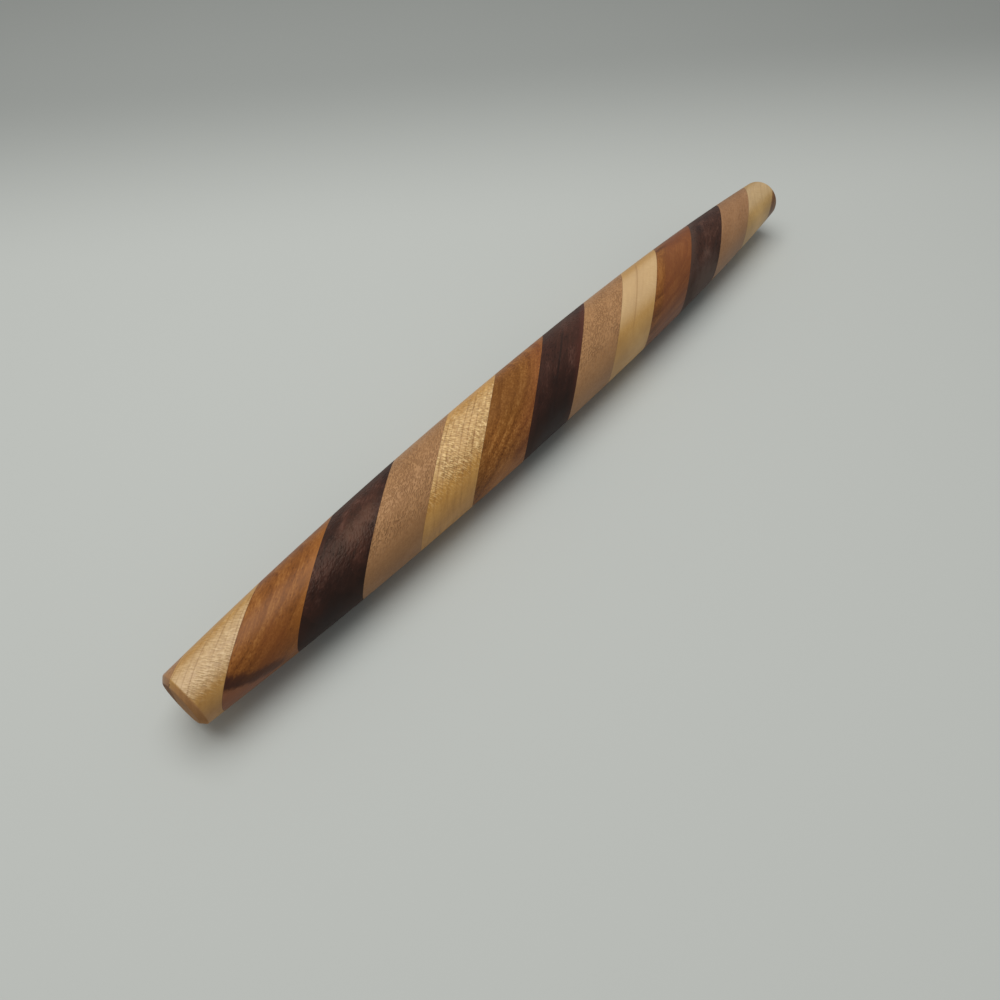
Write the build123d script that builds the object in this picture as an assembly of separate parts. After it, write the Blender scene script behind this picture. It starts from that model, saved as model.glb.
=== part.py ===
from build123d import *
import math
import os

# A French rolling pin, turned from a block glued up from boards of four woods.
# The pin lies along X and rests on the tangent line of its belly at Z = 0,
# with the origin below its middle. All lengths are in millimetres.

# Turned form
pin_length = 495.0
belly_diameter = 44.5
end_diameter = 26.4
taper_power = 2.25
taper_station_shares = (0.0, 0.2, 0.4, 0.6, 0.8, 1.0)

# Softened ends
bevel_length = 2.1
bevel_depth = 2.5
edge_rounding = 1.2

# Boards, in the order in which they were glued up, over and over
board_thickness = {
    "beech": 20.6,
    "maple": 20.1,
    "cherry": 21.9,
    "walnut": 20.9,
}
board_count = 15

# The pin is cut from the glued stack on a slant. Its first and last glue
# joints meet the line of its axis a little past the two ends
near_overhang = 6.75
far_overhang = 7.5

# How far the pin has rolled about its axis as it lies, in degrees
seam_roll = 9.4

# Wood around the turned form in the blank, before turning
blank_allowance = 8.0

# Values worked out from the sizes above
half_length = pin_length / 2
belly_radius = belly_diameter / 2
end_radius = end_diameter / 2
face_radius = end_radius - bevel_depth
shoulder_x = half_length - bevel_length


def glued_stack():
    """Name and thickness of every board, from the near end to the far end."""
    woods = list(board_thickness.items())
    stack = []
    for place in range(board_count):
        wood, thickness = woods[place % len(woods)]
        stack.append((f"{wood}_{place // len(woods) + 1}", thickness))
    return stack


# The slant that brings the stack from its first joint to its last into the pin
between_end_joints = sum(thickness for name, thickness in glued_stack()[1:-1])
sine = between_end_joints / (pin_length + near_overhang + far_overhang)
cosine = math.sqrt(1 - sine**2)
roll = math.radians(seam_roll)

# Boards are placed in this frame: X runs with the grain, Z goes through them
glue_plane = Plane(
    origin=(0, 0, 0),
    x_dir=(cosine, sine * math.cos(roll), sine * math.sin(roll)),
    z_dir=(sine, -cosine * math.cos(roll), -cosine * math.sin(roll)),
)


def radius_at(share):
    """Radius of the pin at a share of the way from its middle to its shoulder."""
    return belly_radius - (belly_radius - end_radius) * share**taper_power


def half_outline():
    """Points of the turned curve from the middle to the shoulder."""
    return [(shoulder_x * share, radius_at(share)) for share in taper_station_shares]


def spindle():
    """The whole turned form: a long belly curve between two bevelled ends."""
    right = half_outline()
    left = [(-x, radius) for x, radius in reversed(right[1:])]
    belly = Spline(left + right)
    profile = Polyline(
        belly @ 1,
        (half_length, face_radius),
        (half_length, 0),
        (-half_length, 0),
        (-half_length, face_radius),
        belly @ 0,
    )
    section = make_face(Wire([belly] + profile.edges()))
    turned = revolve(section, Axis.X)
    rims = turned.edges().filter_by(GeomType.CIRCLE)
    return fillet(rims, edge_rounding)


def sawn_board(start, thickness):
    """One board of the blank, from its near glue face on, before turning."""
    middle = start + thickness / 2
    length = belly_diameter / sine + thickness * cosine / sine + 2 * blank_allowance
    width = belly_diameter + 2 * blank_allowance
    place = Pos(middle * cosine / sine, 0, middle)
    return glue_plane * place * Box(length, width, thickness)


def main():
    """Cuts each board to the turned form and writes it as its own part."""
    os.makedirs("parts", exist_ok=True)
    slant = math.degrees(math.asin(sine))
    print("the glue joints lie", round(slant, 2), "degrees from the axis")
    stack = glued_stack()
    turned = Pos(0, 0, belly_radius) * spindle()
    start = -(half_length + near_overhang) * sine - stack[0][1]
    for name, thickness in stack:
        blank = Pos(0, 0, belly_radius) * sawn_board(start, thickness)
        board = (blank & turned).solid()
        board.label = name
        export_step(board, os.path.join("parts", name + ".step"))
        print(name, "volume", round(board.volume, 1), "cubic mm")
        start = start + thickness


main()
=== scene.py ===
# %% [markdown]
# # A French rolling pin glued up from four woods
# A French pin is one turned stick without handles: thick in the middle and
# thinner towards both ends, so that a baker can tilt it on the dough. This one
# is cut on a slant from a stack of beech, maple, cherry and walnut boards, and
# the slant is what draws the barber's stripes round it.
#
# The lesson turns the stick once, saws it into its fifteen boards along the
# glue joints, and then spends most of its time on the wood itself. Everything
# is in metres, in the frame of the measured model, so that each board comes
# out exactly where the model has it.

# %% Load the measured model
import math

import bmesh
import bpy
from mathutils import Matrix, Vector


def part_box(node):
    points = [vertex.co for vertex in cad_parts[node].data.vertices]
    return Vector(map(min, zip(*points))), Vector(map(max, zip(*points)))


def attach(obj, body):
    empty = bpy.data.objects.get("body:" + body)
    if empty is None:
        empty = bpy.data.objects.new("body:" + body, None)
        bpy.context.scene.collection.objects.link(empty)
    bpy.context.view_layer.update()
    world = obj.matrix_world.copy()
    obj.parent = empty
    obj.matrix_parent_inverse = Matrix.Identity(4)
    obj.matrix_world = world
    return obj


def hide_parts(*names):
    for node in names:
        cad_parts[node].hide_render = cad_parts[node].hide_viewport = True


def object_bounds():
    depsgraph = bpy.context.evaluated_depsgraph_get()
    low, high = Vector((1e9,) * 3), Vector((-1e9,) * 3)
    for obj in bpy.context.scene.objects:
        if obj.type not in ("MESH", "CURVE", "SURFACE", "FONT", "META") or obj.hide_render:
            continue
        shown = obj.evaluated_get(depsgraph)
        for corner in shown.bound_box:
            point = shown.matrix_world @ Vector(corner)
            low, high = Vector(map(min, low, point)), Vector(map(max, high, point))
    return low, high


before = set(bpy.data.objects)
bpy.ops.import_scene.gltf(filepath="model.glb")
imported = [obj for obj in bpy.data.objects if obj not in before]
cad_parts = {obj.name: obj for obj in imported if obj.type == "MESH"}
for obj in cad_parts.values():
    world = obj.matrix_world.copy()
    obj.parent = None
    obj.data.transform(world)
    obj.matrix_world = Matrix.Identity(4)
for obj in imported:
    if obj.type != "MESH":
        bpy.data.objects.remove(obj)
cad_low, cad_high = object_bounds()
print("measured model:", len(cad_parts), "boards,", cad_high - cad_low)

# %% [markdown]
# ## The turned form
# The pin lies along X and rests on its belly at Z = 0. Its length and its
# thickest part are read from the model. What is left is the turner's own: how
# thin the ends are, how the curve falls towards them, and how the sharp corner
# of each end is taken off. A power of the distance from the middle gives the
# curve of a French pin, which is nearly straight at the belly and falls faster
# and faster towards the ends.

# %% Sizes of the turned form
MM = 0.001
PIN_LENGTH = cad_high.x - cad_low.x
BELLY_RADIUS = (cad_high.z - cad_low.z) / 2
END_RADIUS = 13.2 * MM
TAPER_POWER = 2.25
BEVEL_LENGTH = 2.1 * MM
BEVEL_DEPTH = 2.5 * MM
EDGE_ROUNDING = 1.2 * MM

HALF_LENGTH = PIN_LENGTH / 2
SHOULDER_X = HALF_LENGTH - BEVEL_LENGTH
FACE_RADIUS = END_RADIUS - BEVEL_DEPTH


def turned_radius(x):
    """Radius of the pin between its two shoulders."""
    share = abs(x) / SHOULDER_X
    return BELLY_RADIUS - (BELLY_RADIUS - END_RADIUS) * share**TAPER_POWER


print("pin", round(PIN_LENGTH / MM, 2), "mm long and", round(2 * BELLY_RADIUS / MM, 2), "mm thick")

# %% [markdown]
# A lathe cuts a round form station by station, and the same can be done in
# edit mode: a circle is added at one end, and then extruded along the axis and
# resized, again and again, to the radius that the curve gives there. A spin of
# the outline would do as well. The extrusions are chosen because each ring
# then stays a whole loop of edges, which the bevel tool can round later.

# %% Turn the pin
ROUND_STEPS = 320
STATION_COUNT = 96


def deselect_all():
    """Leaves nothing selected, because operators act on all that is."""
    bpy.ops.object.select_all(action="DESELECT")


def turned_stations():
    """Place and radius of each ring, from the near end face to the far one."""
    stations = [(-HALF_LENGTH, FACE_RADIUS)]
    for step in range(STATION_COUNT + 1):
        x = SHOULDER_X * (2 * step / STATION_COUNT - 1)
        stations.append((x, turned_radius(x)))
    stations.append((HALF_LENGTH, FACE_RADIUS))
    return stations


def turn_pin():
    """The whole pin as one closed mesh, before its rims are rounded."""
    stations = turned_stations()
    x, radius = stations[0]
    deselect_all()
    bpy.ops.mesh.primitive_circle_add(
        vertices=ROUND_STEPS,
        radius=radius,
        fill_type="NGON",
        location=(x, 0, BELLY_RADIUS),
        rotation=(0, math.radians(90), 0),
    )
    bpy.ops.object.transform_apply(location=True, rotation=True, scale=True)
    bpy.ops.object.mode_set(mode="EDIT")
    for next_x, next_radius in stations[1:]:
        bpy.ops.mesh.extrude_region_move(
            TRANSFORM_OT_translate={"value": (next_x - x, 0, 0)}
        )
        growth = next_radius / radius
        bpy.ops.transform.resize(
            value=(1, growth, growth), center_override=(next_x, 0, BELLY_RADIUS)
        )
        x, radius = next_x, next_radius
    bpy.ops.mesh.select_all(action="SELECT")
    bpy.ops.mesh.normals_make_consistent(inside=False)
    bpy.ops.object.mode_set(mode="OBJECT")
    return bpy.context.object


turned_pin = turn_pin()
turned_pin.name = "turned_pin"
print("turned", len(turned_pin.data.polygons), "faces")

# %% [markdown]
# The turner eases every sharp corner with a twist of sandpaper. Each end has
# two rims, one where the bevel meets the long curve and one where it meets the
# flat face, and the bevel tool rounds both. Its offset is the distance from
# the old corner to where the rounding starts, which for a rounding of a given
# radius depends on how sharply the corner turns.

# %% Round the rims
RIM_SEGMENTS = 6
ROUND_PROFILE = 0.5
PLACE_TOLERANCE = 0.01 * MM


def select_rim(mesh, x):
    """Selects the ring of edges that lies at x."""
    shape = bmesh.from_edit_mesh(mesh)
    for edge in shape.edges:
        on_rim = all(abs(v.co.x - x) < PLACE_TOLERANCE for v in edge.verts)
        edge.select_set(on_rim)
    bmesh.update_edit_mesh(mesh)


def round_rim(pin, x, turn):
    """Rounds the rim at x, where the outline turns by that angle."""
    deselect_all()
    pin.select_set(True)
    bpy.context.view_layer.objects.active = pin
    bpy.ops.object.mode_set(mode="EDIT")
    bpy.ops.mesh.select_mode(type="EDGE")
    bpy.ops.mesh.select_all(action="DESELECT")
    select_rim(pin.data, x)
    bpy.ops.mesh.bevel(
        offset=EDGE_ROUNDING * math.tan(turn / 2),
        offset_type="OFFSET",
        segments=RIM_SEGMENTS,
        profile=ROUND_PROFILE,
        affect="EDGES",
    )
    bpy.ops.object.mode_set(mode="OBJECT")


curve_end_fall = TAPER_POWER * (BELLY_RADIUS - END_RADIUS) / SHOULDER_X
bevel_slope = math.atan2(BEVEL_DEPTH, BEVEL_LENGTH)
shoulder_turn = bevel_slope - math.atan(curve_end_fall)
face_turn = math.radians(90) - bevel_slope
for end in (-1, 1):
    round_rim(turned_pin, end * HALF_LENGTH, face_turn)
    round_rim(turned_pin, end * SHOULDER_X, shoulder_turn)
print("rims rounded,", len(turned_pin.data.polygons), "faces")

# %% [markdown]
# ## Fifteen boards
# Four kinds of board repeat through the stack, always in the same order, and
# the first and the last joint cross the line of the axis a little beyond the
# two ends. That alone fixes the slant. The stack has its own directions: with
# the grain, across the board, and through it from one glue joint to the next.
# All the wood below is described in them.

# %% The glued stack
BOARD_THICKNESS = {
    "beech": 20.6 * MM,
    "maple": 20.1 * MM,
    "cherry": 21.9 * MM,
    "walnut": 20.9 * MM,
}
NEAR_OVERHANG = 6.75 * MM
FAR_OVERHANG = 7.5 * MM
SEAM_ROLL = math.radians(9.4)

woods = list(BOARD_THICKNESS)
order = [woods[place % len(woods)] for place in range(len(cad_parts))]
between_end_joints = sum(BOARD_THICKNESS[wood] for wood in order[1:-1])
sine = between_end_joints / (PIN_LENGTH + NEAR_OVERHANG + FAR_OVERHANG)
cosine = math.sqrt(1 - sine**2)
GRAIN = Vector((cosine, sine * math.cos(SEAM_ROLL), sine * math.sin(SEAM_ROLL)))
THROUGH = Vector((sine, -cosine * math.cos(SEAM_ROLL), -cosine * math.sin(SEAM_ROLL)))
ACROSS = THROUGH.cross(GRAIN)
AXIS_MIDDLE = Vector((0, 0, BELLY_RADIUS))


def glued_boards():
    """Name, wood and near and far joint of each board, along the stack."""
    joint = -(HALF_LENGTH + NEAR_OVERHANG) * sine - BOARD_THICKNESS[order[0]]
    boards = []
    for place, wood in enumerate(order):
        far_joint = joint + BOARD_THICKNESS[wood]
        boards.append((f"{wood}_{place // len(woods) + 1}", wood, joint, far_joint))
        joint = far_joint
    return boards


boards = glued_boards()
print("joints lie", round(math.degrees(math.asin(sine)), 2), "degrees from the axis")

# %% [markdown]
# A bisect cuts the mesh with a plane, throws one side away and closes the cut
# with a flat face, which is just what a saw does. Each board is a copy of the
# turned pin that keeps what lies between its two joints. Boolean operators
# would also do it, but a bisect leaves clean loops and never fails on faces
# that touch. Each board stands for the board of the same name in the model.

# %% Saw the pin into boards
SMOOTH_BELOW = math.radians(20)


def saw(joint, keep_far_side):
    """Cuts the mesh in edit mode at a glue joint and keeps one side of it."""
    bpy.ops.mesh.select_all(action="SELECT")
    bpy.ops.mesh.bisect(
        plane_co=AXIS_MIDDLE + THROUGH * joint,
        plane_no=THROUGH,
        use_fill=True,
        clear_inner=keep_far_side,
        clear_outer=not keep_far_side,
    )


def board_from_pin(name, near_joint, far_joint):
    """One board of the pin, as its own object with its own mesh."""
    deselect_all()
    turned_pin.select_set(True)
    bpy.context.view_layer.objects.active = turned_pin
    bpy.ops.object.duplicate()
    board = bpy.context.object
    board.name = name + "_turned"
    board.data.name = board.name
    bpy.ops.object.mode_set(mode="EDIT")
    if name != boards[0][0]:
        saw(near_joint, keep_far_side=True)
    if name != boards[-1][0]:
        saw(far_joint, keep_far_side=False)
    bpy.ops.object.mode_set(mode="OBJECT")
    bpy.ops.object.shade_smooth_by_angle(angle=SMOOTH_BELOW)
    return board


def furthest_corner(board, node):
    """How far the corners of a board's box lie from those of its node."""
    corners = [board.matrix_world @ Vector(c) for c in board.bound_box]
    low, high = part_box(node)
    ends = [Vector(map(min, *corners)) - low, Vector(map(max, *corners)) - high]
    return max(abs(value) for end in ends for value in end)


pieces = {}
for name, wood, near_joint, far_joint in boards:
    board = board_from_pin(name, near_joint, far_joint)
    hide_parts(name)
    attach(board, "root")
    pieces[name] = board
    print(board.name, "lies within", round(furthest_corner(board, name) / MM, 3), "mm of its node")
bpy.data.objects.remove(turned_pin)

# %% [markdown]
# ## Wood as a recipe
# A material is a graph of nodes, and wood needs many of them. The class below
# keeps one graph and has a short method for each kind of node that the woods
# use, so that a recipe reads like the things that it describes: rings, fibres,
# pores, flecks. Every pattern is solid, worked out from the place in the board
# and not painted on its skin. So a line that runs along the top of the pin
# turns into short dashes round its side, where the curve cuts across the
# grain, and both faces of a joint belong to their own boards. Where a pattern
# is given three sizes, they are those of its lumps with the grain, across it
# and through it, in millimetres.

# %% The recipe class
# How far apart the layers of one board are drawn, so that no two look alike
NOISE_STEP = 7.3
SCATTER_STEP = 5.1

PATCH_EDGE = (0.3, 0.6)


class Recipe:
    """The node graph of one board's material. Lengths in it are in millimetres."""

    def __init__(self, name, seed):
        self.seed = seed
        self.material = bpy.data.materials.new(name)
        self.material.use_nodes = True
        self.tree = self.material.node_tree
        self.tree.nodes.clear()
        self.spot = self.node("ShaderNodeTexCoord")

    def node(self, kind, **settings):
        """Adds a node with those settings."""
        made = self.tree.nodes.new(kind)
        for name, value in settings.items():
            setattr(made, name, value)
        return made

    def feed(self, socket, value):
        """Links a socket to another, or sets it to a constant."""
        if isinstance(value, bpy.types.NodeSocket):
            self.tree.links.new(value, socket)
        else:
            socket.default_value = value

    def math(self, operation, *values):
        """One arithmetic step."""
        node = self.node("ShaderNodeMath", operation=operation)
        for socket, value in zip(node.inputs, values):
            self.feed(socket, value)
        return node.outputs[0]

    def frame_of(self, axes, origin):
        """Position in millimetres along three axes, from an origin in metres."""
        turn = Matrix(axes)
        node = self.node("ShaderNodeMapping", vector_type="POINT")
        self.feed(node.inputs["Vector"], self.spot.outputs["Object"])
        node.inputs["Rotation"].default_value = turn.to_euler("XYZ")
        node.inputs["Scale"].default_value = (1 / MM, 1 / MM, 1 / MM)
        node.inputs["Location"].default_value = -(turn @ origin) / MM
        return node.outputs[0]

    def cells(self, place, along, across, through, shift=0.0):
        """The place counted in cells of that size."""
        node = self.node("ShaderNodeMapping", vector_type="POINT")
        self.feed(node.inputs["Vector"], place)
        node.inputs["Scale"].default_value = (1 / along, 1 / across, 1 / through)
        node.inputs["Location"].default_value = (shift, shift, shift)
        return node.outputs[0]

    def noise(self, place, size, detail=2.0, roughness=0.5, distortion=0.0, layer=0):
        """Soft noise from 0 to 1 with lumps of that size. Each layer is another noise."""
        node = self.node("ShaderNodeTexNoise", noise_dimensions="4D")
        self.feed(node.inputs["Vector"], self.cells(place, *size))
        node.inputs["W"].default_value = self.seed + NOISE_STEP * layer
        node.inputs["Scale"].default_value = 1.0
        node.inputs["Detail"].default_value = detail
        node.inputs["Roughness"].default_value = roughness
        node.inputs["Distortion"].default_value = distortion
        return node.outputs[0]

    def patches(self, place, size, layer):
        """Soft patches of about that size, 1 inside them and 0 between them."""
        return self.rise(self.noise(place, size, layer=layer), *PATCH_EDGE)

    def grains(self, place, size, layer=0):
        """Distance from the nearest of many scattered points, and a random value for it."""
        node = self.node("ShaderNodeTexVoronoi", voronoi_dimensions="3D", feature="F1")
        shift = self.seed + SCATTER_STEP * layer
        self.feed(node.inputs["Vector"], self.cells(place, *size, shift=shift))
        node.inputs["Scale"].default_value = 1.0
        return node.outputs["Distance"], self.parts(node.outputs["Color"])[0]

    def parts(self, vector):
        """The three parts of a position, or of a colour."""
        node = self.node("ShaderNodeSeparateXYZ")
        self.feed(node.inputs[0], vector)
        return node.outputs[0], node.outputs[1], node.outputs[2]

    def rise(self, value, low, high):
        """Goes softly from 0 to 1 while the value goes from low to high."""
        node = self.node("ShaderNodeMapRange", interpolation_type="SMOOTHSTEP")
        self.feed(node.inputs["Value"], value)
        node.inputs["From Min"].default_value = low
        node.inputs["From Max"].default_value = high
        return node.outputs[0]

    def times(self, *values):
        """The product of several values."""
        product = values[0]
        for value in values[1:]:
            product = self.math("MULTIPLY", product, value)
        return product

    def plus(self, *values):
        """The sum of several values."""
        total = values[0]
        for value in values[1:]:
            total = self.math("ADD", total, value)
        return total

    def swing(self, value, amount):
        """A value that runs from 0 to 1, turned into one either side of zero."""
        return self.times(self.math("SUBTRACT", value, 0.5), amount)

    def mix(self, amount, first, second, blend="MIX"):
        """Goes from the first colour to the second as the amount goes to 1."""
        node = self.node("ShaderNodeMix", data_type="RGBA", blend_type=blend)
        self.feed(node.inputs[0], amount)
        self.feed(node.inputs[6], first)
        self.feed(node.inputs[7], second)
        return node.outputs[2]

    def ramp(self, value, *tones):
        """A colour for each value from 0 to 1, through evenly spaced tones."""
        node = self.node("ShaderNodeValToRGB")
        self.feed(node.inputs[0], value)
        marks = node.color_ramp.elements
        while len(marks) < len(tones):
            marks.new(0.5)
        for place, (mark, tone) in enumerate(zip(marks, tones)):
            mark.position = place / (len(tones) - 1)
            mark.color = tone
        return node.outputs[0]


print("recipe ready with", len([m for m in dir(Recipe) if not m.startswith("_")]), "methods")

# %% [markdown]
# Colours are easiest to choose as they look on a screen, from 0 to 255, but
# the nodes work in linear light, so each one is converted once.

# %% Colours
BRIGHTEST_LEVEL = 255
SCREEN_KNEE = 0.04045
SCREEN_SLOPE = 12.92
SCREEN_OFFSET = 0.055
SCREEN_POWER = 2.4


def linear(level):
    """Linear light for one screen level from 0 to 255."""
    share = level / BRIGHTEST_LEVEL
    if share <= SCREEN_KNEE:
        return share / SCREEN_SLOPE
    return ((share + SCREEN_OFFSET) / (1 + SCREEN_OFFSET)) ** SCREEN_POWER


def colour(red, green, blue):
    """A node colour from screen levels."""
    return (linear(red), linear(green), linear(blue), 1.0)


print("middle grey is", [round(part, 3) for part in colour(188, 188, 188)[:3]])

# %% [markdown]
# ## How a board sits in its tree
# A board's growth rings are slices of cylinders round the pith, the middle of
# the trunk. How far off the pith was, and on which side, decides whether the
# pin shows straight lines, arches or only flecks. So each board has its own
# ring frame: with the grain, round the ring, and out from the pith.

# %% Places in the board and in its tree
SLOW_WANDER = (70, 16, 16)
QUICK_WANDER = (14, 5, 5)
LATE_WOOD_END = 0.95


def board_middle(near_joint, far_joint):
    """Where the middle plane of a board crosses the axis of the pin."""
    return AXIS_MIDDLE + Vector((1, 0, 0)) * (near_joint + far_joint) / 2 / sine


def board_place(recipe, middle):
    """Position with the grain, across the board and through it."""
    return recipe.frame_of((GRAIN, ACROSS, THROUGH), middle)


def ring_place(recipe, middle, ring_turn, pith_distance):
    """Position with the grain, round the ring and out from the pith."""
    turn = math.radians(ring_turn)
    outward = THROUGH * math.cos(turn) + ACROSS * math.sin(turn)
    around = outward.cross(GRAIN)
    return recipe.frame_of((GRAIN, around, outward), middle - outward * pith_distance * MM)


def ring_distance(recipe, place, wander=1.5):
    """Distance from the pith, with the wander that real rings have."""
    along, around, outward = recipe.parts(place)
    straight = recipe.math(
        "SQRT", recipe.plus(recipe.times(around, around), recipe.times(outward, outward))
    )
    slow = recipe.noise(place, SLOW_WANDER, detail=1.0, layer=1)
    quick = recipe.noise(place, QUICK_WANDER, detail=2.0, layer=2)
    return recipe.plus(
        straight, recipe.swing(slow, 4 * wander), recipe.swing(quick, 0.6 * wander)
    )


def ring_lines(recipe, distance, spacing, sharpness=0.25):
    """Thin late-wood lines: they darken slowly outward and stop at once."""
    turns = recipe.math("FRACT", recipe.times(distance, 1 / spacing))
    late = recipe.rise(turns, 1 - sharpness, LATE_WOOD_END)
    stop = recipe.rise(turns, 1.0, LATE_WOOD_END)
    return recipe.times(late, stop)


def facing(recipe, direction):
    """How squarely the surface faces a direction, from -1 to 1."""
    node = recipe.node("ShaderNodeVectorMath", operation="DOT_PRODUCT")
    recipe.feed(node.inputs[0], recipe.spot.outputs["Normal"])
    node.inputs[1].default_value = direction
    return node.outputs["Value"]


def upper_side(recipe, low=0.5, high=0.9):
    """Goes from 0 on the flanks of the pin to 1 along its top."""
    return recipe.rise(facing(recipe, ACROSS), low, high)


def end_grain(recipe):
    """How squarely the surface cuts the fibres, from 0 to 1."""
    return recipe.math("ABSOLUTE", facing(recipe, GRAIN))


GLUE_HALF_WIDTH = 0.16


def glue_line(recipe, place, thickness):
    """The hair-thin dark line where a board meets its neighbour."""
    through = recipe.parts(place)[2]
    depth = recipe.math("SUBTRACT", thickness / MM / 2, recipe.math("ABSOLUTE", through))
    return recipe.rise(depth, GLUE_HALF_WIDTH, 0.0)


print("ring frame ready, glue lines", 2 * GLUE_HALF_WIDTH, "mm wide")

# %% [markdown]
# ## Oil
# The pin is rubbed with oil, not varnished: a soft sheen, a highlight with no
# edge, and pores that stay open. One function lays it on every wood, with
# more shine on the maple than on the dark woods. The fibres make it a little
# rougher here and smoother there, the pores are dull, and where the curve cuts
# the fibres the wood drinks more oil and goes darker.

# %% Finish one board
OIL_ROUGHNESS = 0.42
OIL_REFRACTION = 1.46
OIL_TINT = (1.0, 0.78, 0.62, 1.0)
PALE_TINT = (1.0, 0.92, 0.84, 1.0)
END_DULLNESS = 0.55
GLUE_STRENGTH = 0.6

# Shares of end grain between which the oil soaks in, and the sheen goes dull
SOAK_LIMITS = (0.12, 0.95)
DULL_LIMITS = (0.6, 0.95)


def finish_wood(recipe, colour_socket, height, dullness, shine, tint=OIL_TINT):
    """Joins colour, relief in millimetres and sheen into the board's surface."""
    bump = recipe.node("ShaderNodeBump")
    bump.inputs["Strength"].default_value = 1.0
    bump.inputs["Distance"].default_value = MM
    recipe.feed(bump.inputs["Height"], height)
    skin = recipe.node("ShaderNodeBsdfPrincipled")
    recipe.feed(skin.inputs["Base Color"], colour_socket)
    dry = recipe.times(recipe.rise(end_grain(recipe), *DULL_LIMITS), END_DULLNESS)
    recipe.feed(skin.inputs["Roughness"], recipe.plus(OIL_ROUGHNESS, dullness, dry))
    recipe.feed(skin.inputs["Normal"], bump.outputs[0])
    skin.inputs["IOR"].default_value = OIL_REFRACTION
    skin.inputs["Specular IOR Level"].default_value = shine
    skin.inputs["Specular Tint"].default_value = tint
    output = recipe.node("ShaderNodeOutputMaterial")
    recipe.feed(output.inputs["Surface"], skin.outputs[0])


def soak_and_glue(recipe, wood_colour, place, thickness, soak, thirst, glue):
    """Darkens end grain by as much oil as the wood drinks, and draws the joints."""
    cut = recipe.rise(end_grain(recipe), *SOAK_LIMITS)
    soaked = recipe.mix(recipe.times(cut, thirst), wood_colour, soak, "MULTIPLY")
    line = recipe.times(glue_line(recipe, place, thickness), GLUE_STRENGTH)
    return recipe.mix(line, soaked, glue)


print("oil finish of roughness", OIL_ROUGHNESS)

# %% [markdown]
# ## Marks that one board has
# Some boards carry a mark of their own, which no general recipe would draw: a
# tint, a dark streak of gum, a soft patch, a single fine line. A few of the
# soft patches are painted light or painted shade, laid on a flank or on the
# top. Each is a function that takes the colour so far and returns it with the
# mark laid over. The places are in the board, along its grain, across it and
# through it, in millimetres from its middle.

# %% Marks
# Shares of end grain between the flank of the pin and its bevels
BEVEL_LIMITS = (0.53, 0.65)


def layer_between(wood, value, middle, half_width, softness):
    """1 inside a layer of the board and 0 outside it."""
    away = wood.math("ABSOLUTE", wood.math("SUBTRACT", value, middle))
    return wood.rise(away, half_width + softness, half_width - softness)


def tinted(red, green, blue):
    """Makes the whole board a little paler, darker or warmer, by shares of its light."""

    def mark(wood, place, shade):
        return wood.mix(1.0, shade, (red, green, blue, 1.0), "MULTIPLY")

    return mark


def end_tinted(red, green, blue):
    """Shifts the tone of the end grain alone, on a bevel and a flat end."""

    def mark(wood, place, shade):
        ends = wood.rise(end_grain(wood), *BEVEL_LIMITS)
        return wood.mix(ends, shade, (red, green, blue, 1.0), "MULTIPLY")

    return mark


GUM_WANDER = (7, 2.2, 2.2)
GUM_SLANT = (0.895, 0.445)
GUM_WIDENS = (-40.0, -27.0)
GUM_THINS_OUT = (-12.0, -24.0)
PINK_DEPTH = (3.4, 1.2)
PINK_THINS_OUT = (-18.0, -30.0)
GUM = colour(62, 32, 27)
GUM_PINK = colour(150, 100, 76)


def gum_streak(wood, place, shade):
    """A slanting dark seam of gum that thins out, with pinker wood below it."""
    along, across, through = wood.parts(place)
    wander = wood.noise(place, GUM_WANDER, detail=3.0, roughness=0.65, layer=20)
    depth = wood.plus(
        wood.times(across, GUM_SLANT[0]),
        wood.times(through, GUM_SLANT[1]),
        wood.swing(wander, 3.4),
    )
    wider = wood.rise(along, *GUM_WIDENS)
    middle = wood.plus(3.9, wood.times(wider, -0.6))
    reach = wood.plus(2.4, wood.times(wider, 0.9))
    away = wood.math("ABSOLUTE", wood.math("SUBTRACT", depth, middle))
    seam = wood.rise(wood.math("DIVIDE", away, reach), 1.0, 0.35)
    fade = wood.plus(wood.rise(along, *GUM_THINS_OUT), wood.times(wider, -0.25))
    below = wood.times(wood.rise(depth, *PINK_DEPTH), wood.rise(along, *PINK_THINS_OUT))
    pink = wood.mix(wood.times(below, 0.75), shade, GUM_PINK)
    return wood.mix(wood.times(seam, fade, 0.97), pink, GUM)


RAGGED_EDGE = (8, 4, 4)


def soft_patch(centre, reach, strength, tint):
    """A soft cloud of darker or paler colour: the wood's own on some boards, painted light or
    shade on others.
    """

    def mark(wood, place, shade):
        node = wood.node("ShaderNodeMapping", vector_type="POINT")
        wood.feed(node.inputs["Vector"], place)
        node.inputs["Scale"].default_value = [1 / part for part in reach]
        node.inputs["Location"].default_value = [-c / r for c, r in zip(centre, reach)]
        length = wood.node("ShaderNodeVectorMath", operation="LENGTH")
        wood.feed(length.inputs[0], node.outputs[0])
        ragged = wood.swing(wood.noise(place, RAGGED_EDGE, detail=3.0, layer=21), 0.9)
        cloud = wood.rise(wood.plus(length.outputs["Value"], ragged), 1.25, 0.35)
        return wood.mix(wood.times(cloud, strength), shade, tint)

    return mark


LINE_WANDER = (60, 60, 30)
BAND_WANDER = (36, 8, 8)


def fine_line(through_place, half_width, strength, ink, fade=(0.3, 0.8)):
    """One thin line that follows the glue joints over the top of the pin."""

    def mark(wood, place, shade):
        through = wood.parts(place)[2]
        wander = wood.swing(wood.noise(place, LINE_WANDER, detail=1.0, layer=22), 0.8)
        line = layer_between(
            wood, wood.plus(through, wander), through_place, half_width, half_width * 0.6
        )
        return wood.mix(wood.times(line, upper_side(wood, *fade), strength), shade, ink)

    return mark


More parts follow.
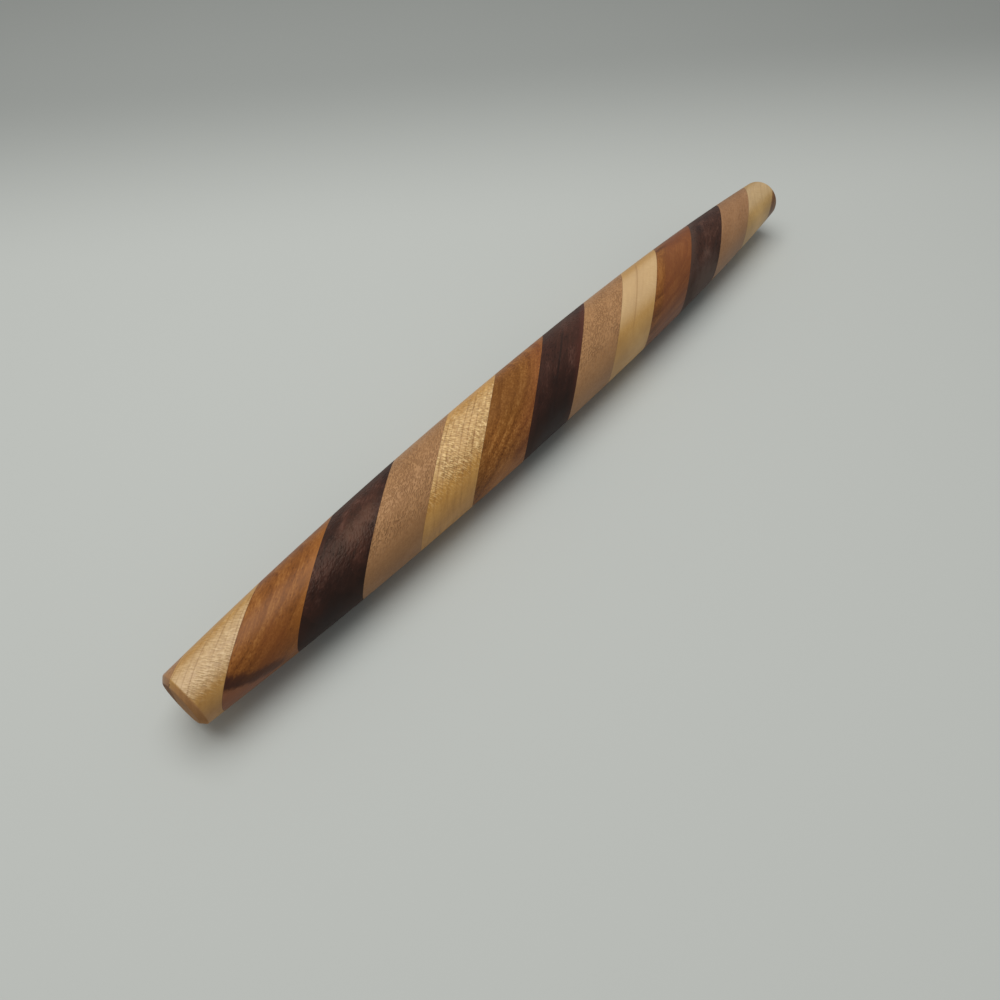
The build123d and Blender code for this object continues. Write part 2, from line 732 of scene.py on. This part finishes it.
def joint_band(from_through, to_through, strength, tint):
    """Wood of another tone that grows stronger towards one glue joint."""

    def mark(wood, place, shade):
        through = wood.parts(place)[2]
        wander = wood.swing(wood.noise(place, BAND_WANDER, detail=2.0, layer=23), 5.0)
        band = wood.rise(wood.plus(through, wander), from_through, to_through)
        return wood.mix(wood.times(band, strength), shade, tint)

    return mark


def with_marks(wood, place, shade, marks):
    """Lays a board's own marks over its colour, one after another."""
    for mark in marks:
        shade = mark(wood, place, shade)
    return shade


print("marks ready")

# %% [markdown]
# ## Maple
# Hard maple is the palest of the four. Its rings are soft lines a few
# millimetres apart and its pores too fine to see. What makes it lively is
# curl: the fibres weave up and down, so that short bars across the grain turn
# towards the light or away from it. Relief alone would be too fine to see
# from a step away. So each bar is also painted a little brighter or darker,
# and the bars, the ring lines and the fibres are painted strongest on the
# upper side, where a polished pin catches the light: there the bright bars
# are partly painted glints of the lamp. The top is also mixed towards a pale
# cream, a painted highlight.

# %% Maple
MAPLE_LINE_BREAKS = (60, 14, 4)
MAPLE_DRIFT = (60, 10, 10)
MAPLE_STREAKS = (50, 8, 1.1)
MAPLE_FIBRES = (8, 0.8, 0.8)
MAPLE_BARS = (0.55, 2.2, 2.0)
MAPLE_WEAVE = (5.0, 0.6, 0.6)
MAPLE_PATCHES = (16, 9, 9)
# The lit top, over which bars, ring lines and fibres are painted strongest
MAPLE_LIT_SIDE = (0.58, 0.95)
# How far round the top the painted highlight reaches
MAPLE_PAINTED_HIGHLIGHT_SIDE = (0.76, 0.98)
MAPLE_BAR_STRENGTH = 0.42
MAPLE_SHINE = 0.65
MAPLE_TONES = (colour(146, 102, 46), colour(194, 150, 82), colour(226, 186, 116))
# Colour of the painted highlight on the top of the maple
MAPLE_PAINTED_HIGHLIGHT = colour(214, 188, 150)
MAPLE_RING = colour(134, 90, 46)
MAPLE_DARK_BAR = colour(134, 92, 50)
# Partly the bright side of the curl, partly a painted glint of the lamp
MAPLE_BRIGHT_BAR_AND_GLINT = colour(250, 228, 186)
MAPLE_SOAK = (0.6, 0.53, 0.6, 1.0)
MAPLE_THIRST = 0.9
MAPLE_GLUE = colour(110, 74, 44)


def maple(
    name,
    seed,
    middle,
    thickness,
    ring_turn,
    pith_distance,
    curl,
    rings,
    bleach,
    ring_gap=4.3,
    fibre=0.6,
    marks=(),
):
    """Pale wood with soft ring lines and curl across the grain, and a painted highlight and
    painted glints on its top.
    """
    wood = Recipe(name, seed)
    place = board_place(wood, middle)
    tree = ring_place(wood, middle, ring_turn, pith_distance)
    upper = upper_side(wood, *MAPLE_LIT_SIDE)
    lines = wood.times(
        ring_lines(wood, ring_distance(wood, tree, wander=1.0), ring_gap, sharpness=0.35),
        wood.patches(tree, MAPLE_LINE_BREAKS, layer=9),
        wood.plus(0.25, wood.times(upper, 0.75)),
    )
    drift = wood.noise(place, MAPLE_DRIFT, detail=2.0, layer=3)
    streaks = wood.noise(tree, MAPLE_STREAKS, detail=2.0, layer=8)
    fibres = wood.noise(place, MAPLE_FIBRES, detail=1.5, roughness=0.6, layer=4)
    bars = wood.noise(place, MAPLE_BARS, detail=0.5, distortion=0.25, layer=5)
    weave = wood.noise(place, MAPLE_WEAVE, detail=0.5, layer=6)
    wave = wood.plus(wood.swing(wood.rise(bars, 0.32, 0.68), 1.2), wood.swing(weave, 1.1))
    patches = wood.patches(place, MAPLE_PATCHES, layer=7)
    strength = wood.times(wood.plus(0.05, wood.times(upper, wood.plus(0.35, patches))), curl)
    tone = wood.plus(
        0.5,
        wood.swing(drift, 0.5),
        wood.swing(streaks, 0.5 * rings),
        wood.times(wood.swing(fibres, fibre), wood.plus(0.6, wood.times(upper, 0.4))),
    )
    shade = wood.ramp(tone, *MAPLE_TONES)
    # Painted highlight: the top is mixed towards pale cream, standing in for the sheen of the lamp
    pale = upper_side(wood, *MAPLE_PAINTED_HIGHLIGHT_SIDE)
    shade = wood.mix(wood.times(pale, bleach), shade, MAPLE_PAINTED_HIGHLIGHT)
    shade = wood.mix(wood.times(lines, 0.6 * rings), shade, MAPLE_RING)
    # Curl bars painted darker and brighter, most on the lit top: partly figure, partly painted
    # shade and painted glints
    dark = wood.times(wood.rise(wave, 0.0, -0.7), strength, MAPLE_BAR_STRENGTH)
    bright_bars_and_glints = wood.times(wood.rise(wave, 0.1, 0.8), strength, MAPLE_BAR_STRENGTH)
    shade = wood.mix(dark, shade, MAPLE_DARK_BAR)
    shade = wood.mix(bright_bars_and_glints, shade, MAPLE_BRIGHT_BAR_AND_GLINT)
    shade = with_marks(wood, place, shade, marks)
    shade = soak_and_glue(
        wood, shade, place, thickness, MAPLE_SOAK, MAPLE_THIRST, MAPLE_GLUE
    )
    height = wood.plus(wood.swing(fibres, 0.03), wood.times(wave, strength, 0.2))
    dullness = wood.swing(fibres, 0.1)
    finish_wood(wood, shade, height, dullness, shine=MAPLE_SHINE, tint=PALE_TINT)
    return wood.material


print("maple ready")

# %% [markdown]
# ## Cherry
# Cherry darkens from pink to a warm red-brown. Its rings are soft, with paler
# and redder streaks between them, and small dark dashes of gum lie in the
# grain. Long fibres and a faint net across them are mixed into the tone before
# it is turned into colour, which keeps the broad streaks from looking painted.

# %% Cherry
CHERRY_RING_GAP = 5.2
CHERRY_STREAKS = (50, 12, 2.0)
CHERRY_DRIFT = (40, 12, 7)
CHERRY_FIBRES = (8, 0.65, 0.65)
CHERRY_MESH = (1.1, 0.8, 0.8)
CHERRY_DASHES = (3.2, 0.9, 0.9)
CHERRY_TONES = (colour(90, 46, 18), colour(140, 84, 37), colour(188, 128, 68))
CHERRY_SOAK = (0.5, 0.36, 0.28, 1.0)
CHERRY_THIRST = 0.8
CHERRY_GLUE = colour(56, 32, 22)


def cherry(
    name, seed, middle, thickness, ring_turn, pith_distance, net, figure=1.0, shine=0.33, marks=()
):
    """Warm orange-brown wood with soft streaks and a fine net of darker fibres."""
    wood = Recipe(name, seed)
    place = board_place(wood, middle)
    tree = ring_place(wood, middle, ring_turn, pith_distance)
    rings = ring_distance(wood, tree, wander=2.5)
    lines = ring_lines(wood, rings, CHERRY_RING_GAP, sharpness=0.6)
    streaks = wood.noise(tree, CHERRY_STREAKS, detail=3.0, roughness=0.6, layer=3)
    drift = wood.noise(place, CHERRY_DRIFT, detail=1.0, layer=4)
    fibres = wood.noise(place, CHERRY_FIBRES, detail=1.5, roughness=0.6, layer=5)
    mesh = wood.rise(wood.noise(place, CHERRY_MESH, detail=1.0, layer=7), 0.35, 0.65)
    near, chance = wood.grains(place, CHERRY_DASHES, layer=6)
    dashes = wood.times(wood.rise(near, 0.36, 0.12), wood.rise(chance, 0.45, 0.7))
    tone = wood.plus(
        0.5,
        wood.swing(streaks, 0.65 * figure),
        wood.swing(drift, 0.45 * figure),
        wood.swing(fibres, 0.75),
        wood.swing(mesh, 0.14 * net),
        wood.times(lines, -0.2 * figure),
        wood.times(dashes, -0.28),
    )
    shade = wood.ramp(tone, *CHERRY_TONES)
    shade = with_marks(wood, place, shade, marks)
    shade = soak_and_glue(
        wood, shade, place, thickness, CHERRY_SOAK, CHERRY_THIRST, CHERRY_GLUE
    )
    height = wood.plus(
        wood.swing(fibres, 0.05), wood.swing(mesh, 0.02 * net), wood.times(dashes, -0.03)
    )
    finish_wood(wood, shade, height, wood.swing(fibres, 0.1), shine=shine)
    return wood.material


print("cherry ready")

# %% [markdown]
# ## Walnut
# Walnut is nearly black under oil, with purple and red in it. Its pores are
# long dark dashes, and cloudy, slightly paler figure drifts between the rings.
# The upper side is painted a little lighter, and the figure, the fibres and the
# pores are painted strongest there, as painted light where the lamp falls; the
# flanks are painted nearly plain. They are also a little duller, so that they
# stay dark where the eye meets them at a low angle, and the relief of the grain
# grows towards the top.

# %% Walnut
WALNUT_RING_GAP = 6.0
WALNUT_CLOUDS = (14, 6, 5)
WALNUT_FIBRES = (5, 0.8, 0.8)
WALNUT_PORES = (3.4, 0.95, 0.95)
WALNUT_RELIEF = (1.8, 0.9, 0.9)
WALNUT_SHINE = 0.25
WALNUT_TONES = (colour(26, 17, 15), colour(59, 36, 29), colour(104, 76, 65))
WALNUT_SOAK = (0.5, 0.45, 0.45, 1.0)
WALNUT_THIRST = 0.7
WALNUT_GLUE = colour(22, 15, 14)


def walnut(
    name,
    seed,
    middle,
    thickness,
    ring_turn,
    pith_distance,
    cloudy,
    cloud_size=1.0,
    relief=1.0,
    marks=(),
):
    """Dark wood with long pores and cloudy figure."""
    wood = Recipe(name, seed)
    place = board_place(wood, middle)
    tree = ring_place(wood, middle, ring_turn, pith_distance)
    rings = ring_distance(wood, tree, wander=3.5)
    lines = ring_lines(wood, rings, WALNUT_RING_GAP, sharpness=0.6)
    upper = upper_side(wood)
    lit_figure_share = wood.plus(0.3, wood.times(upper, 0.7))
    cloud = [part * cloud_size for part in WALNUT_CLOUDS]
    clouds = wood.noise(place, cloud, detail=3.0, roughness=0.5, distortion=0.8, layer=3)
    fibres = wood.noise(place, WALNUT_FIBRES, detail=1.5, roughness=0.6, layer=4)
    near, chance = wood.grains(place, WALNUT_PORES, layer=5)
    pores = wood.times(wood.rise(near, 0.4, 0.14), wood.rise(chance, 0.3, 0.6), upper)
    # Painted light: the top is painted lighter, and clouds, fibres and pores are painted strongest
    # on it
    tone = wood.plus(
        0.36,
        wood.times(upper, 0.12),
        wood.times(wood.swing(clouds, 1.6 * cloudy), lit_figure_share),
        wood.times(wood.swing(fibres, 0.65), lit_figure_share),
        wood.times(lines, -0.12),
        wood.times(pores, -0.25),
    )
    shade = wood.ramp(tone, *WALNUT_TONES)
    shade = with_marks(wood, place, shade, marks)
    shade = soak_and_glue(
        wood, shade, place, thickness, WALNUT_SOAK, WALNUT_THIRST, WALNUT_GLUE
    )
    grain_relief = wood.noise(place, WALNUT_RELIEF, detail=1.0, layer=6)
    height = wood.plus(
        wood.times(wood.swing(grain_relief, 0.35 * relief), upper), wood.times(pores, -0.08)
    )
    dullness = wood.plus(0.2, wood.times(upper, -0.2), wood.times(pores, 0.2))
    finish_wood(wood, shade, height, dullness, shine=WALNUT_SHINE)
    return wood.material


print("walnut ready")

# %% [markdown]
# ## Beech
# Beech is an even pinkish tan, and it is known by its flecks. Each is the end
# of a ray, a thin sheet that runs out from the pith, so a board whose face
# looks towards the bark shows hundreds of short dark dashes. Sanded and oiled,
# each one stands a little below the wood beside it, and they are seen best
# where the light glances off, so they are painted dark almost only on the
# upper side, as painted light. They come in patches, closer in one place and
# sparser in the next.

# %% Beech
BEECH_DRIFT = (60, 10, 10)
BEECH_FIBRES = (4, 0.8, 0.8)
BEECH_RAY_ENDS = (1.7, 0.55, 3.0)
BEECH_PATCHES = (14, 8, 8)
BEECH_SHINE = 0.36
BEECH_TONES = (colour(106, 70, 42), colour(158, 116, 78), colour(200, 154, 110))
BEECH_SOAK = (0.48, 0.4, 0.34, 1.0)
BEECH_THIRST = 0.9
BEECH_GLUE = colour(88, 58, 40)


def beech(
    name, seed, middle, thickness, ring_turn, pith_distance, flecked, fleck_size=1.0, marks=()
):
    """Pinkish tan wood with dense short ray flecks."""
    wood = Recipe(name, seed)
    place = board_place(wood, middle)
    tree = ring_place(wood, middle, ring_turn, pith_distance)
    drift = wood.noise(place, BEECH_DRIFT, detail=2.0, layer=3)
    fibres = wood.noise(place, BEECH_FIBRES, detail=1.5, roughness=0.6, layer=4)
    upper = upper_side(wood)
    fleck = [part * fleck_size for part in BEECH_RAY_ENDS]
    ray_ends = wood.noise(tree, fleck, detail=0.5, distortion=0.2, layer=5)
    patches = wood.patches(place, BEECH_PATCHES, layer=6)
    # Flecks are real, but painting them almost only on the top is painted light
    flecks = wood.times(
        wood.rise(ray_ends, 0.45, 0.62),
        wood.plus(0.05, wood.times(upper, 0.95)),
        wood.plus(0.4, wood.times(patches, 0.8)),
        flecked,
    )
    tone = wood.plus(
        0.56,
        wood.swing(drift, 0.35),
        wood.swing(fibres, 0.4),
        wood.times(flecks, -0.17),
    )
    shade = wood.ramp(tone, *BEECH_TONES)
    shade = with_marks(wood, place, shade, marks)
    shade = soak_and_glue(
        wood, shade, place, thickness, BEECH_SOAK, BEECH_THIRST, BEECH_GLUE
    )
    height = wood.plus(wood.swing(fibres, 0.03), wood.times(flecks, -0.21))
    finish_wood(wood, shade, height, wood.times(flecks, 0.1), shine=BEECH_SHINE)
    return wood.material


print("beech ready")

# %% [markdown]
# ## Every board its own tree
# No two boards of a real pin match, so each has its own seed, its own place in
# the tree, its own strength of figure and its own marks.

# %% Give each board its wood
SMOKE = colour(30, 21, 20)
# Painted shade: a cool dark grey laid on the low flank of a walnut
COLD_PAINTED_SHADE = colour(42, 38, 40)
WALNUT_RED = colour(84, 46, 36)
WALNUT_CLOUD = colour(118, 82, 64)
ORANGE_HEART = colour(172, 108, 48)
# Painted light: a paler colour laid on the low flank of two maples
PAINTED_FLANK_LIGHT = colour(230, 186, 114)
RED_HEART = colour(128, 70, 42)

CHARACTER = {
    "beech_1": {"ring_turn": 80, "pith_distance": 90, "flecked": 0.6},
    "maple_1": {
        "ring_turn": 10,
        "pith_distance": 110,
        "curl": 0.5,
        "rings": 0.75,
        "ring_gap": 2.6,
        "bleach": 0.75,
        "fibre": 0.45,
        "marks": [tinted(0.94, 0.88, 0.78), end_tinted(1.05, 1.03, 1.24)],
    },
    "cherry_1": {
        "ring_turn": -52,
        "pith_distance": 60,
        "net": 0.9,
        "figure": 0.85,
        "marks": [
            joint_band(6.0, 13.0, 0.6, ORANGE_HEART),
            tinted(0.97, 0.99, 0.93),
            soft_patch((-12, 20, 0), (16, 8, 14), 0.25, colour(110, 64, 34)),
            soft_patch((-24, 10, 5), (20, 10, 8), 0.6, colour(140, 82, 40)),
            gum_streak,
        ],
    },
    "walnut_1": {
        "ring_turn": 40,
        "pith_distance": 70,
        "cloudy": 1.0,
        "marks": [
            tinted(1.2, 1.06, 1.02),
            soft_patch((14, 18, 0), (30, 10, 14), 0.12, WALNUT_CLOUD),
            soft_patch((3, 20, 2), (7, 4, 5), 0.25, WALNUT_CLOUD),
            soft_patch((13, 20, 6), (6, 4, 4), 0.25, WALNUT_CLOUD),
            soft_patch((-22, 9, 1), (22, 12, 12), 0.6, SMOKE),
            soft_patch((2, 17, -7), (14, 4, 3.5), 0.5, SMOKE),
            joint_band(7.5, 11.0, 0.5, SMOKE),
            # Painted cool shade on the low flank
            soft_patch((-36, -3, 0), (20, 16, 14), 0.6, COLD_PAINTED_SHADE),
        ],
    },
    "beech_2": {
        "ring_turn": 85,
        "pith_distance": 90,
        "flecked": 1.0,
        "fleck_size": 0.85,
        "marks": [tinted(1.05, 1.05, 1.01)],
    },
    "maple_2": {
        "ring_turn": 2,
        "pith_distance": 130,
        "curl": 1.0,
        "rings": 1.0,
        "ring_gap": 2.7,
        "bleach": 0.6,
        "marks": [tinted(1.07, 0.96, 0.73)],
    },
    "cherry_2": {
        "ring_turn": -42,
        "pith_distance": 70,
        "net": 1.8,
        "figure": 1.1,
        "shine": 0.15,
        "marks": [
            joint_band(0.0, 10.0, 0.4, RED_HEART),
            joint_band(-5.0, -11.0, 0.35, colour(92, 56, 24)),
            tinted(1.22, 1.4, 1.52),
            # Painted shade over the top, which dims the highlight there
            soft_patch((-2, 22, -2), (40, 5, 14), 0.55, colour(100, 60, 20)),
            # Painted light on the low flank
            soft_patch((-34, -2, 0), (18, 12, 14), 0.5, colour(196, 138, 84)),
        ],
    },
    "walnut_2": {
        "ring_turn": 0,
        "pith_distance": 90,
        "cloudy": 0.5,
        "cloud_size": 1.8,
        "relief": 0.6,
        "marks": [
            tinted(1.18, 1.07, 1.07),
            fine_line(-0.6, 0.5, 0.8, SMOKE, fade=(0.8, 0.97)),
            joint_band(6.0, 11.0, 0.8, WALNUT_RED),
            soft_patch((18, 14, 0), (26, 10, 14), 0.15, WALNUT_CLOUD),
            soft_patch((-24, 9, 0), (34, 14, 15), 0.7, SMOKE),
            soft_patch((-12, 12, 6), (12, 8, 4), 0.5, SMOKE),
            # Painted light: a paler cool grey on the low flank
            soft_patch((-36, -3, 0), (20, 14, 14), 0.8, colour(52, 46, 48)),
        ],
    },
    "beech_3": {
        "ring_turn": 75,
        "pith_distance": 90,
        "flecked": 1.0,
        "fleck_size": 0.95,
        "marks": [tinted(1.11, 1.12, 1.08)],
    },
    "maple_3": {
        "ring_turn": 0,
        "pith_distance": 160,
        "curl": 0.1,
        "rings": 0.12,
        "bleach": 0.5,
        "fibre": 0.35,
        "marks": [
            tinted(1.0, 0.98, 0.96),
            # Painted light on the low flank
            soft_patch((-30, -1, 0), (16, 14, 16), 0.55, PAINTED_FLANK_LIGHT),
            fine_line(-1.6, 0.4, 0.4, colour(150, 106, 60), fade=(0.55, 0.9)),
        ],
    },
    "cherry_3": {
        "ring_turn": -80,
        "pith_distance": 70,
        "net": 0.4,
        "figure": 1.4,
        "marks": [
            joint_band(-8.0, -3.0, 0.6, RED_HEART),
            soft_patch((-8, 18, 0), (14, 8, 14), 0.2, colour(104, 60, 34)),
            tinted(0.93, 0.97, 0.95),
        ],
    },
    "walnut_3": {
        "ring_turn": -80,
        "pith_distance": 60,
        "cloudy": 0.6,
        "cloud_size": 1.7,
        "relief": 0.5,
        "marks": [
            tinted(1.27, 1.22, 1.13),
            # Painted light: a paler grey-brown on the lower flank
            soft_patch((-26, 3, 0), (28, 14, 16), 0.65, colour(102, 85, 77)),
            joint_band(-5.0, -11.0, 0.4, colour(96, 78, 68)),
            soft_patch((0, 18, -4), (7, 4, 3), 0.5, SMOKE),
        ],
    },
    "beech_4": {
        "ring_turn": 80,
        "pith_distance": 90,
        "flecked": 0.4,
        "fleck_size": 1.2,
        "marks": [tinted(0.92, 0.91, 0.92)],
    },
    "maple_4": {
        "ring_turn": 30,
        "pith_distance": 60,
        "curl": 0.1,
        "rings": 0.3,
        "bleach": 0.35,
        "fibre": 0.6,
        "marks": [
            tinted(0.93, 0.98, 1.08),
            # Painted light on the low flank
            soft_patch((-24, -1, 0), (14, 14, 16), 0.65, PAINTED_FLANK_LIGHT),
        ],
    },
    "cherry_4": {
        "ring_turn": 0,
        "pith_distance": 80,
        "net": 0.3,
        "marks": [tinted(0.78, 0.92, 1.1)],
    },
}
WOOD_RECIPES = {"beech": beech, "maple": maple, "cherry": cherry, "walnut": walnut}

# How far apart the boards are drawn, so that no two look alike
SEED_STEP = 3.7

for place, (name, wood, near_joint, far_joint) in enumerate(boards):
    middle = board_middle(near_joint, far_joint)
    recipe = WOOD_RECIPES[wood]
    material = recipe(
        name + "_wood", SEED_STEP * place, middle, far_joint - near_joint, **CHARACTER[name]
    )
    pieces[name].data.materials.clear()
    pieces[name].data.materials.append(material)
print("materials:", len(bpy.data.materials))

# %% [markdown]
# ## The table
# The pin lies on a matt pale sheet. The sheet goes on far behind it, where
# less light falls, and there its colour fades to a darker grey: painted shade.

# %% Floor
FLOOR_SIZE = 12.0
CAMERA_HEADING = math.radians(38.867)
AHEAD = Vector((math.cos(CAMERA_HEADING), math.sin(CAMERA_HEADING), 0))
ASIDE = Vector((math.sin(CAMERA_HEADING), -math.cos(CAMERA_HEADING), 0))
# Painted shade: where the paper fades to a darker grey
FADE_START = 185.0
FADE_END = 500.0
FADE_TURN = math.radians(10)
PAPER = colour(194, 197, 192)
PAPER_IN_PAINTED_SHADE = colour(160, 163, 159)
PAPER_ROUGHNESS = 0.85
PAPER_SHINE = 0.15


def floor_material():
    """Matt paper, with painted shade that darkens it far behind the pin."""
    paper = Recipe("pale_sheet", 0.0)
    upright = Vector((0, 0, 1))
    back = AHEAD * math.cos(FADE_TURN) - ASIDE * math.sin(FADE_TURN)
    place = paper.frame_of((back, upright.cross(back), upright), Vector((0, 0, 0)))
    ahead = paper.parts(place)[0]
    shade = paper.ramp(paper.rise(ahead, FADE_START, FADE_END), PAPER, PAPER_IN_PAINTED_SHADE)
    skin = paper.node("ShaderNodeBsdfPrincipled")
    paper.feed(skin.inputs["Base Color"], shade)
    skin.inputs["Roughness"].default_value = PAPER_ROUGHNESS
    skin.inputs["Specular IOR Level"].default_value = PAPER_SHINE
    output = paper.node("ShaderNodeOutputMaterial")
    paper.feed(output.inputs["Surface"], skin.outputs[0])
    return paper.material


deselect_all()
bpy.ops.mesh.primitive_plane_add(size=FLOOR_SIZE)
floor = bpy.context.object
floor.name = "floor"
floor.data.materials.append(floor_material())
print("floor", FLOOR_SIZE, "m")

# %% [markdown]
# ## Light
# One large soft lamp hangs overhead, a little beyond the pin. It puts the
# satin highlight along the upper side and the soft shadow on the near side,
# and the world fills the shadows. Several small lamps could do as much, but
# each would leave its own hard spot on the oil.

# %% Lamp and world
LAMP_DIRECTION = Vector((-0.06, 0.14, 1.0)).normalized()
LAMP_DISTANCE = 1.25
LAMP_SIZE = 1.1
LAMP_POWER = 12.8
WORLD_LEVEL = 0.3

deselect_all()
bpy.ops.object.light_add(type="AREA", location=AXIS_MIDDLE + LAMP_DIRECTION * LAMP_DISTANCE)
lamp = bpy.context.object
lamp.name = "soft_lamp"
lamp.data.size = LAMP_SIZE
lamp.data.energy = LAMP_POWER
lamp.rotation_euler = LAMP_DIRECTION.to_track_quat("Z", "Y").to_euler()

world = bpy.data.worlds.new("studio")
world.use_nodes = True
world.node_tree.nodes["Background"].inputs["Color"].default_value = (1.0, 1.0, 1.0, 1.0)
world.node_tree.nodes["Background"].inputs["Strength"].default_value = WORLD_LEVEL
bpy.context.scene.world = world
bpy.context.scene.view_settings.view_transform = "Standard"
print("lamp", LAMP_POWER, "W, world", WORLD_LEVEL)

# %% [markdown]
# ## Camera
# A short lens close above the near end: the near end looms, and the far end
# runs away to the upper right.

# %% Camera
CAMERA_PLACE = Vector((-278.57, -187.24, 314.12)) * MM
CAMERA_DIP = math.radians(49.730)
LENS = 28.587
SENSOR = 36.0
NEAREST_SEEN = 0.01

deselect_all()
bpy.ops.object.camera_add(
    location=CAMERA_PLACE,
    rotation=(math.radians(90) - CAMERA_DIP, 0, CAMERA_HEADING - math.radians(90)),
)
camera = bpy.context.object
camera.name = "camera"
camera.data.lens = LENS
camera.data.sensor_width = SENSOR
camera.data.clip_start = NEAREST_SEEN
bpy.context.scene.camera = camera
print("camera", LENS, "mm")

# %% [markdown]
# ## The size
# The dressed pin has to fill the same box as the measured one.
